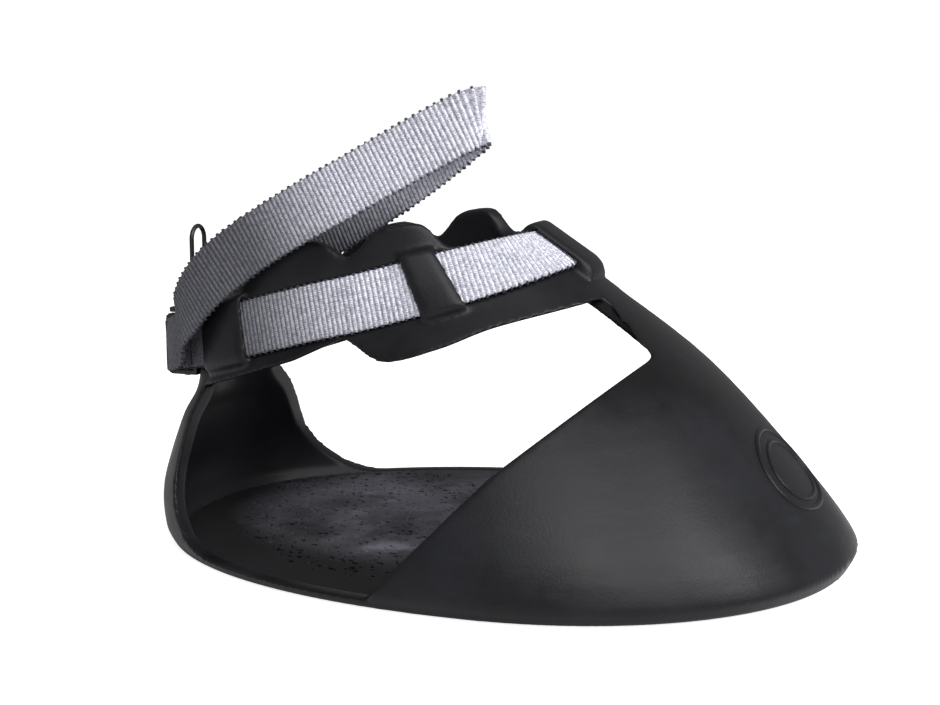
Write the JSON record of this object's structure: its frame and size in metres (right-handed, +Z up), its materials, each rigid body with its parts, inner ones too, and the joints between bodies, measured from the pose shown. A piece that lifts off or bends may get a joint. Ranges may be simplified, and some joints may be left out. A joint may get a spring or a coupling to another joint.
{
  "type": "horse hoof boot",
  "caption": "Moulded rubber hoof boot with open sides, a webbing strap through loops round its collar, a cam buckle behind the heel and wire keepers for the strap's tail.",
  "frame": {"origin": "on the ground, under the middle of the boot's length and width, at the sole's underside", "axes": "+X towards the toe, +Z up, +Y to the far side; the strap's tail lies on the -Y side"},
  "size_m": [0.1972, 0.1554, 0.1252],
  "materials": {
    "rubber": "satin black moulded rubber",
    "sole_rubber": "matte black tread rubber",
    "webbing": "woven lavender grey webbing",
    "painted_steel": "black painted steel",
    "zinc": "zinc plated steel",
    "wire": "black coated wire"
  },
  "bodies": {
    "boot": {"boot_upper": "rubber", "sole_tread": "sole_rubber", "collar_strap": "webbing", "buckle_base": "painted_steel", "cam_pin": "zinc", "anchor_bar": "zinc", "rivet_upper": "zinc", "rivet_lower": "zinc", "washer_upper": "zinc", "washer_lower": "zinc"},
    "lever": {"cam_lever": "painted_steel"},
    "tail": {"strap_tail": "webbing"},
    "near_loop": {"wire_loop_near": "wire"},
    "far_loop": {"wire_loop_far": "wire"}
  },
  "joints": [
    {"name": "lever_hinge", "type": "hinge", "parent": "boot", "child": "lever", "pos_m": [-0.09636, 0.0034, 0.05225], "axis": [0, 0, 1], "range_deg": [0, 95]},
    {"name": "tail_swing", "type": "hinge", "parent": "boot", "child": "tail", "pos_m": [-0.09536, -0.0164, 0.05225], "axis": [0, 0, -1], "range_deg": [0, 12]},
    {"name": "near_loop_swing", "type": "hinge", "parent": "boot", "child": "near_loop", "pos_m": [-0.08707, -0.01329, 0.06639], "axis": [0, 1, 0], "range_deg": [-45, 80]},
    {"name": "far_loop_swing", "type": "hinge", "parent": "boot", "child": "far_loop", "pos_m": [-0.08707, 0.01329, 0.06639], "axis": [0, 1, 0], "range_deg": [-45, 80]}
  ]
}
